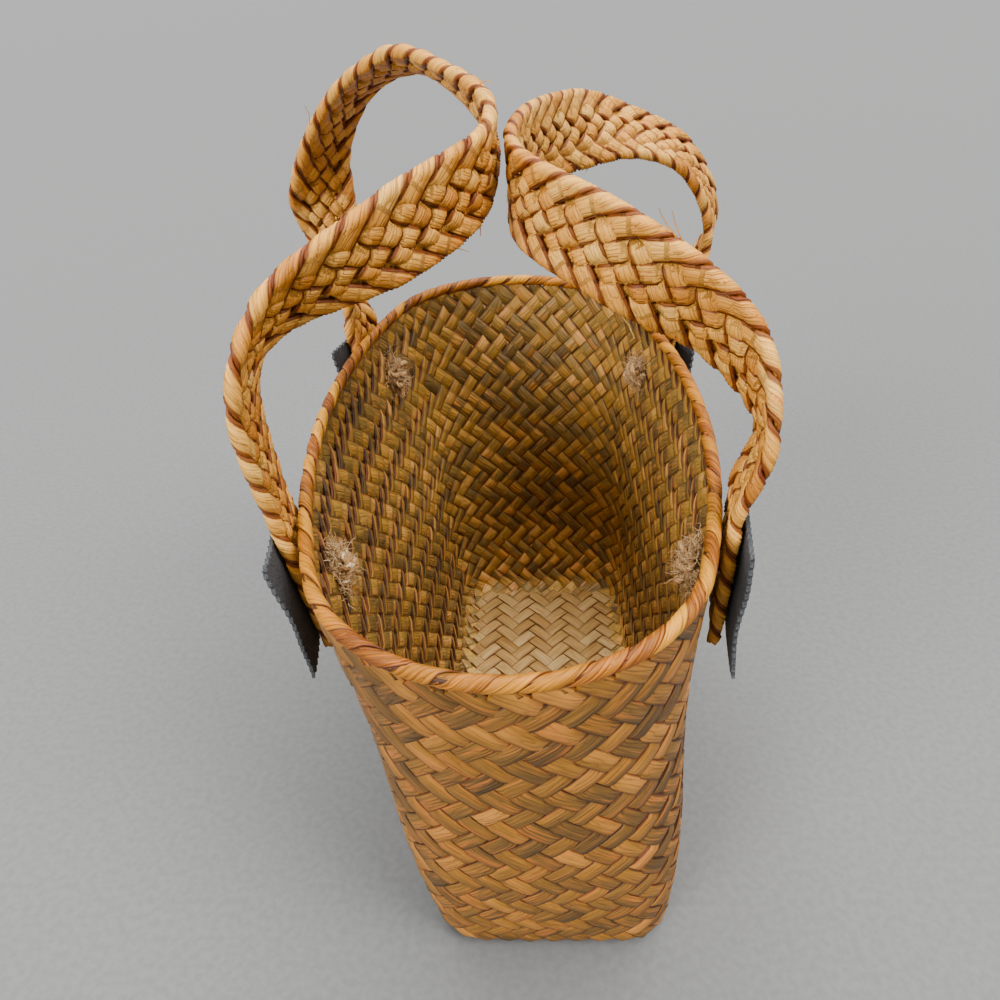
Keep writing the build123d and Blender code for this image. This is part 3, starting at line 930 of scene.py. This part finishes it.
def felt():
    """Dark felt: fine matted grain, slow worn patchiness and a fluffed surface."""
    finish, tree, shader = new_finish("charcoal_felt", FELT_ROUGHNESS)
    place = {"Vector": add_node(tree, "ShaderNodeTexCoord").outputs["Object"]}
    grain = add_node(tree, "ShaderNodeTexNoise", {**place, **FELT_GRAIN}).outputs[0]
    wear = add_node(tree, "ShaderNodeTexNoise", {**place, **FELT_WEAR}).outputs[0]
    fluff = add_node(tree, "ShaderNodeTexVoronoi", {**place, **FELT_FLUFF}).outputs[0]
    amount = sums(tree, "ADD", sums(tree, "MULTIPLY", grain, FELT_GRAIN_SHARE),
                  sums(tree, "MULTIPLY", wear, FELT_WEAR_SHARE))
    tree.links.new(colour_ramp(tree, amount, FELT_TONES), shader.inputs["Base Color"])
    height = sums(tree, "ADD", grain, sums(tree, "MULTIPLY", fluff, FELT_FLUFF_HEIGHT))
    bump = add_node(tree, "ShaderNodeBump",
                    {"Strength": FELT_BUMP, "Distance": FELT_RELIEF, "Height": height})
    tree.links.new(bump.outputs[0], shader.inputs["Normal"])
    return finish


felt_finish = felt()


def pinked_patch(name, node):
    """A felt patch over a plate of the frame: a fine grid with zigzag edges, flared and given thickness."""
    face, outward, level, up, (thick, half_width, half_height) = plate_frame(node)
    columns = 2 * round(2 * half_width / PINK_PITCH)
    rows = 2 * round(2 * half_height / PINK_PITCH)
    u, v = np.meshgrid(np.linspace(-1, 1, columns + 1), np.linspace(-1, 1, rows + 1))
    x, y = u * half_width, v * half_height
    odd_column = np.arange(columns + 1) % 2 == 1
    odd_row = np.arange(rows + 1) % 2 == 1
    x[odd_row, 0] += PINK_DEPTH
    x[odd_row, -1] -= PINK_DEPTH
    y[0, odd_column] += PINK_DEPTH
    y[-1, odd_column] -= PINK_DEPTH
    phases = dice.uniform(0, 2 * math.pi, 2)
    ripple_v, ripple_u = (np.sin(waves * along + phase)
                          for waves, along, phase in zip(PATCH_RIPPLE_WAVES, (v, u), phases))
    lift = PATCH_FLARE * (u ** PATCH_FLARE_POWER + np.clip(-v, 0, 1) ** PATCH_FLARE_POWER)
    lift += PATCH_RIPPLE * (ripple_v * u ** 2 + ripple_u * v ** 2 + 1)
    points = face + outward * (thick + lift[..., None]) + level * x[..., None] + up * y[..., None]
    faces = []
    for r in range(rows):
        for c in range(columns):
            a = r * (columns + 1) + c
            faces.append((a, a + 1, a + columns + 2, a + columns + 1))
    mesh = bpy.data.meshes.new(name + "_sheet")
    mesh.from_pydata(points.reshape(-1, 3).tolist(), [], faces)
    sheet = placed(name + "_sheet", mesh)
    solid = sheet.modifiers.new("thickness", "SOLIDIFY")
    solid.thickness = PATCH_SHEET
    solid.offset = 0
    soft = sheet.modifiers.new("soft edge", "BEVEL")
    soft.width = PATCH_SOFT_EDGE
    soft.segments = PATCH_EDGE_SEGMENTS
    piece = plain_piece(name, sheet)
    piece.data.materials.append(felt_finish)
    return piece


for side in ("left", "right"):
    for end in ("front", "rear"):
        node = f"{side}_{end}_patch"
        patch = pinked_patch(f"{side}_{end}_felt_patch", node)
        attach(patch, side + "_strap")
        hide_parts(node)


# Twine lashings
# Hairy three-ply twine tied through the patch, the strap's tail and the wall. Outside it is a
# short double stitch, and inside its frayed ends make a tuft.

TWINE_PLY = 0.00062
TWINE_PLIES = 3
TWINE_RADIUS = 2 * TWINE_PLY
TWINE_LAY = 0.006
TWINE_SAMPLES = 150
TWINE_SIDE = (0.31, 0.17, 0.93)
TWINE_SECTION_SIDES = 4
ROUND_SHARE = 1.0
PLY_FULLNESS = 1.15
PLY_CHANGE = 0.06
PLY_KNOTS = 40
PLY_TONE_STEP = 0.13
STITCH = 0.010
STITCH_PASS = 1.1 * TWINE_PLY
LEG_PAST_WALL = 0.003
STITCH_BEND_DEPTHS = (0.0015, 0.0004)
STITCH_BEND_RUN = 0.0008
KNOT_DEPTH = 0.0035
KNOT_HALF_DEPTH = 0.002
KNOT_HALF_WIDTH = 0.0062
KNOT_HALF_HEIGHT = 0.0042
KNOT_SAMPLES = 60
TUFT_HALF_WIDTH = 0.008
TUFT_HALF_HEIGHT = 0.010
TUFT_DEPTH = 0.006
TUFT_SPREAD = 0.40
TUFT_EDGE_SHARE = 0.1
TUFT_ROOT_SHARES = (0.2, 0.9)
TUFT_HAIRS = 700
HAIR_HALF_WIDTH = 0.00013
HAIR_LENGTHS = (0.003, 0.008)
HAIR_CURL = 0.5
HAIR_SIDEWAYS = 0.5
HAIR_UPWARD = (-0.2, 0.8)
HAIR_INWARD = 0.12
TWINE_TONES = [(0.40, 0.215, 0.080), (0.54, 0.325, 0.140), (0.68, 0.450, 0.225), (0.84, 0.630, 0.380)]
TWINE_AMBER = (0.40, 0.210, 0.100)
TWINE_AMBER_SHARE = -0.05
TWINE_CREASES = 3.0
TWINE_RELIEF = 0.0001
# A range past the twine's edges, so that the twine gets no painted edge shade.
NO_EDGE_SHADE = (1.1, 1.2)

twine_finish = stem_finish("hairy_twine", TWINE_TONES, TWINE_AMBER, TWINE_AMBER_SHARE,
                           creases=TWINE_CREASES, relief=TWINE_RELIEF, edge=NO_EDGE_SHADE)


def twine(path, tone):
    """Lines of the plies of a twine that follows a path."""
    gone = distances(path)
    even = np.linspace(0, gone[-1], TWINE_SAMPLES)
    path = along_line(even, gone, path)
    run = unit(np.gradient(path, axis=0))
    first = unit(np.cross(run, TWINE_SIDE))
    second = np.cross(run, first)
    lines = []
    for ply in range(TWINE_PLIES):
        angle = (2 * math.pi * (even / TWINE_LAY + ply / TWINE_PLIES))[:, None]
        offset = first * np.cos(angle) + second * np.sin(angle)
        width = TWINE_PLY * (PLY_FULLNESS + slow_noise(TWINE_SAMPLES, PLY_KNOTS, PLY_CHANGE))
        lines.append((path + offset * TWINE_PLY, offset, width, (tone + PLY_TONE_STEP * ply) % 1))
    return lines


def lashing_frame(side, end):
    """Middle of a lashing in its strap, its three directions and its inner and outer reach."""
    flip = np.array([1, 1 if end == "rear" else -1, 1])
    lashing, outward, level, up = (vector * flip for vector in strap_tail(side))
    reach = (node_corners(f"{side}_{end}_lashing") - lashing) @ outward
    return lashing, outward, level, up, reach.min() + TUFT_DEPTH, reach.max()


def lashing_lines(side, end):
    """Lines of a lashing: the stitch with its legs, a knot and the tuft's hairs."""
    lashing, outward, level, up, inner, outer = lashing_frame(side, end)

    def spot(out, across, rise):
        """A place beside the lashing's middle."""
        return lashing + outward * out + level * across + up * rise

    lines = []
    half = STITCH / 2
    over = outer - TWINE_RADIUS
    leg = [
        (inner - LEG_PAST_WALL, -half),
        (over - STITCH_BEND_DEPTHS[0], -half),
        (over - STITCH_BEND_DEPTHS[1], -half + STITCH_BEND_RUN),
    ]
    route = leg + [(over, 0.0)] + [(out, -across) for out, across in leg[::-1]]
    for offset in (-STITCH_PASS, STITCH_PASS):
        path = np.array([spot(out, across, offset) for out, across in route])
        lines += twine(path, dice.uniform(0, 1))
    knot = []
    for angle in np.linspace(0, 2 * math.pi, KNOT_SAMPLES):
        depth = inner - KNOT_DEPTH - KNOT_HALF_DEPTH * math.cos(3 * angle)
        across = KNOT_HALF_WIDTH * math.sin(2 * angle)
        knot.append(spot(depth, across, KNOT_HALF_HEIGHT * math.sin(angle)))
    lines += twine(np.array(knot), dice.uniform(0, 1))
    for _ in range(TUFT_HAIRS):
        away = dice.normal(0, TUFT_SPREAD, 2)
        depth = TUFT_DEPTH * max(TUFT_EDGE_SHARE, 1 - away @ away) * dice.uniform(*TUFT_ROOT_SHARES)
        start = spot(inner - depth, away[0] * TUFT_HALF_WIDTH, away[1] * TUFT_HALF_HEIGHT)
        heading = level * dice.normal(0, HAIR_SIDEWAYS) + up * dice.normal(*HAIR_UPWARD)
        heading = heading - outward * dice.normal(0, HAIR_INWARD)
        heading /= np.linalg.norm(heading)
        lines.append(hair(start, heading, HAIR_CURL, dice.uniform(*HAIR_LENGTHS), HAIR_HALF_WIDTH))
    return lines


for side in ("left", "right"):
    for end in ("front", "rear"):
        lashing_piece = sweep(f"{side}_{end}_twine", lashing_lines(side, end), twine_finish,
                              ROUND_SHARE, ROUND_SHARE, TWINE_SECTION_SIDES)
        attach(lashing_piece, "basket")
        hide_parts(f"{side}_{end}_lashing")


# Table, light and camera
# A plain grey table top under an even overcast sky, with soft light from the front on both
# sides and a faint window behind. The camera looks down over one end of the bag.

CAMERA_PLACE = (0.0065, -0.2786, 0.3394)
CAMERA_PITCH = math.radians(34.5)
CAMERA_YAW = math.radians(-2.5)
CAMERA_ROLL = math.radians(-2.35)
CAMERA_NEAREST = 0.01
FOCAL_SHARE = 0.787
SENSOR = 36.0
TABLE_HALF = 40.0
TABLE_GREY = (0.146, 0.151, 0.151)
TABLE_MOTTLE = [(0.35, 0.94), (0.65, 1.08)]
TABLE_GRAIN = {"Scale": 300.0, "Detail": 3.0}
TABLE_ROUGHNESS = 0.75
SKY = (0.86, 0.92, 1.0)
SKY_STRENGTH = 0.50
# Each lamp has the direction it shines from, its spread in degrees, its power and its tint.
LAMPS = [
    ("overcast", (0.08, 0.13, 1.0), 50, 5.0, (1.0, 0.97, 0.92)),
    ("right_key", (0.62, -0.38, 0.78), 28, 3.3, (1.0, 0.96, 0.90)),
    ("left_key", (-0.62, -0.66, 0.38), 28, 4.2, (1.0, 0.97, 0.93)),
    ("window", (-0.35, 0.50, 0.90), 30, 1.2, (0.95, 0.98, 1.0)),
]

table_mesh = bpy.data.meshes.new("table_top")
corners = [(x * TABLE_HALF, y * TABLE_HALF, 0) for x, y in ((-1, -1), (1, -1), (1, 1), (-1, 1))]
table_mesh.from_pydata(corners, [], [(0, 1, 2, 3)])
table = placed("table_top", table_mesh)
table_finish, table_tree, table_shader = new_finish("pale_table", TABLE_ROUGHNESS)
table_place = add_node(table_tree, "ShaderNodeTexCoord").outputs["Object"]
table_grain = add_node(table_tree, "ShaderNodeTexNoise", {"Vector": table_place, **TABLE_GRAIN})
table_tones = [(place, [share * part for part in TABLE_GREY]) for place, share in TABLE_MOTTLE]
table_colour = colour_ramp(table_tree, table_grain.outputs[0], table_tones)
table_tree.links.new(table_colour, table_shader.inputs["Base Color"])
table_mesh.materials.append(table_finish)

world = bpy.data.worlds.new("soft_sky")
bpy.context.scene.world = world
world.use_nodes = True
sky = world.node_tree.nodes["Background"].inputs
sky["Color"].default_value = (*SKY, 1)
sky["Strength"].default_value = SKY_STRENGTH


def looking(place, forward, right):
    """Matrix of a lamp or camera at a place, with its forward and right directions."""
    forward = np.array(forward) / np.linalg.norm(forward)
    up = np.cross(right, forward)
    columns = np.stack([right, up, -forward, place], axis=1)
    return Matrix([*columns.tolist(), (0, 0, 0, 1)])


for label, place, spread, power, tint in LAMPS:
    light = bpy.data.lights.new(label, "SUN")
    light.angle = math.radians(spread)
    light.energy = power
    light.color = tint
    forward = -np.array(place)
    right = np.cross(forward, [0.0, 1.0, 0.0])
    lamp = placed(label, light)
    lamp.matrix_world = looking(place, forward, right / np.linalg.norm(right))

forward = np.array([
    math.sin(CAMERA_YAW) * math.cos(CAMERA_PITCH),
    math.cos(CAMERA_YAW) * math.cos(CAMERA_PITCH),
    -math.sin(CAMERA_PITCH),
])
level_right = np.array([math.cos(CAMERA_YAW), -math.sin(CAMERA_YAW), 0.0])
rolled_right = level_right * math.cos(CAMERA_ROLL) + np.cross(level_right, forward) * math.sin(CAMERA_ROLL)
camera = placed("camera", bpy.data.cameras.new("camera"))
camera.data.sensor_width = SENSOR
camera.data.lens = SENSOR * FOCAL_SHARE
camera.data.clip_start = CAMERA_NEAREST
camera.matrix_world = looking(CAMERA_PLACE, forward, rolled_right)
bpy.context.scene.camera = camera
